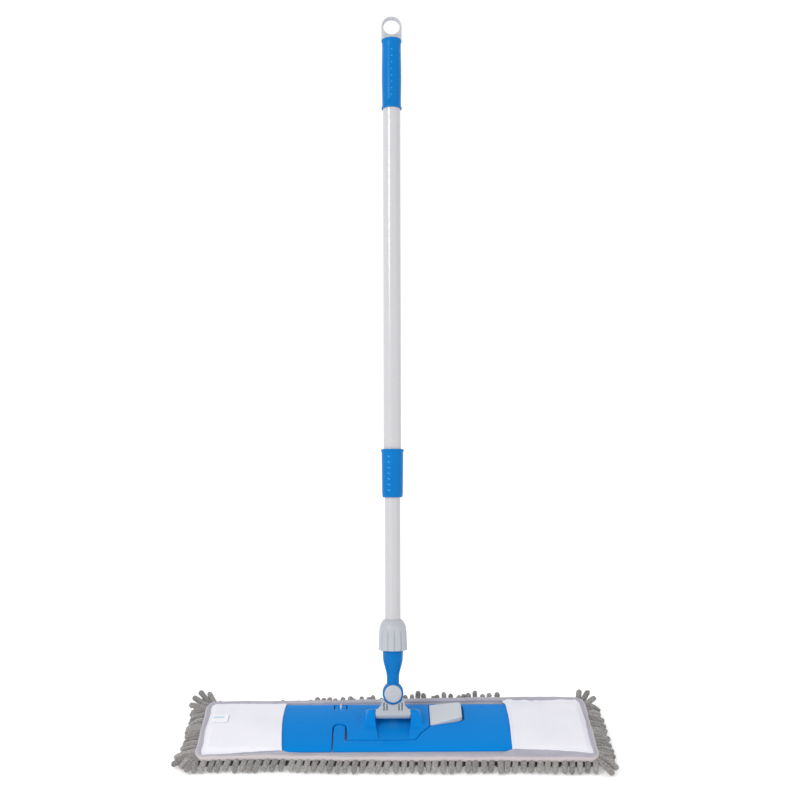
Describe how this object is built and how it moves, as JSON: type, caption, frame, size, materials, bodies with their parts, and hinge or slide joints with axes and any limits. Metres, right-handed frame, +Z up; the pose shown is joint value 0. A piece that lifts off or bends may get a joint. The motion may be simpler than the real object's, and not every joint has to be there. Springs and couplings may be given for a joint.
{
  "type": "flat mop",
  "caption": "Flat mop with a wide blue folding frame in a chenille pocket pad, a two-way swivel joint and a telescopic handle with a hanging ring.",
  "frame": {"origin": "on the floor under the mop's sole, straight below the tilt axle", "axes": "+X along the frame towards the pedal, +Y towards the back where the handle leans, +Z up"},
  "size_m": [0.594, 0.4858, 0.9512],
  "materials": {
    "frame_blue": "glossy moulded",
    "grip_blue": "satin soft-touch",
    "joint_grey": "satin moulded",
    "inner_plastic": "moulded",
    "steel": "plain",
    "tube": "light grey paint",
    "pocket_cloth": "close woven polyester",
    "trim_cloth": "woven tape",
    "chenille": "chenille pile",
    "tag_cloth": "satin tape"
  },
  "bodies": {
    "frame": {"frame_left": "frame_blue", "tilt_axle": "steel", "hinge_pin_front": "steel", "hinge_pin_back": "steel", "pocket_left": "pocket_cloth", "backing_left": "trim_cloth", "binding_left": "trim_cloth", "pile_left": "chenille", "fringe_left": "chenille", "label_tag": "tag_cloth"},
    "right_wing": {"frame_right": "frame_blue", "pedal_pin": "steel", "pedal_spring": "steel", "pocket_right": "pocket_cloth", "backing_right": "trim_cloth", "binding_right": "trim_cloth", "pile_right": "chenille", "fringe_right": "chenille"},
    "pedal": {"pedal": "joint_grey"},
    "bracket": {"bracket": "joint_grey"},
    "lower_pole": {"neck": "frame_blue", "pivot_pin": "joint_grey", "pivot_cap_rear": "joint_grey", "lower_tube": "tube", "lock_core": "inner_plastic"},
    "clamp": {"clamp_ring": "inner_plastic"},
    "collar": {"collar_nut": "joint_grey"},
    "lock": {"lock_expander": "inner_plastic"},
    "upper_pole": {"upper_tube": "tube", "grip": "grip_blue", "hang_cap": "joint_grey", "lock_sleeve": "grip_blue", "guide_bush": "inner_plastic"}
  },
  "joints": [
    {"name": "tilt", "type": "hinge", "parent": "frame", "child": "bracket", "pos_m": [0, 0, 0.0365], "axis": [1, 0, 0], "range_deg": [-50, 95]},
    {"name": "swivel", "type": "hinge", "parent": "bracket", "child": "lower_pole", "pos_m": [0, 0.01121, 0.06292], "axis": [0, -0.9205, 0.3907], "range_deg": [-70, 70]},
    {"name": "clamp_slide", "type": "slide", "parent": "lower_pole", "child": "clamp", "axis": [0, 0.3907, 0.9205], "range_m": [0, 0.0045]},
    {"name": "collar_turn", "type": "hinge", "parent": "clamp", "child": "collar", "pos_m": [0, 0.03907, 0.12855], "axis": [0, 0.3907, 0.9205], "range_deg": [0, 540]},
    {"name": "twist_lock", "type": "hinge", "parent": "lower_pole", "child": "lock", "pos_m": [0, 0.27351, 0.68085], "axis": [0, 0.3907, 0.9205], "range_deg": [-90, 0]},
    {"name": "pole_slide", "type": "slide", "parent": "lock", "child": "upper_pole", "axis": [0, 0.3907, 0.9205], "range_m": [-0.16, 0.36]},
    {"name": "fold", "type": "hinge", "parent": "frame", "child": "right_wing", "pos_m": [-0.0735, 0, 0.0238], "axis": [0, 1, 0], "range_deg": [0, 60]},
    {"name": "pedal_press", "type": "hinge", "parent": "right_wing", "child": "pedal", "pos_m": [0.066, 0, 0.0234], "axis": [0, 1, 0], "range_deg": [0, 9], "stiffness_Nm_per_rad": 1.2, "springref_deg": -5.73, "deforming": ["pedal_spring"]}
  ],
  "couplings": [
    {"joint": "clamp_slide", "follows": "collar_turn", "m_per_rad": 0.000477}
  ]
}
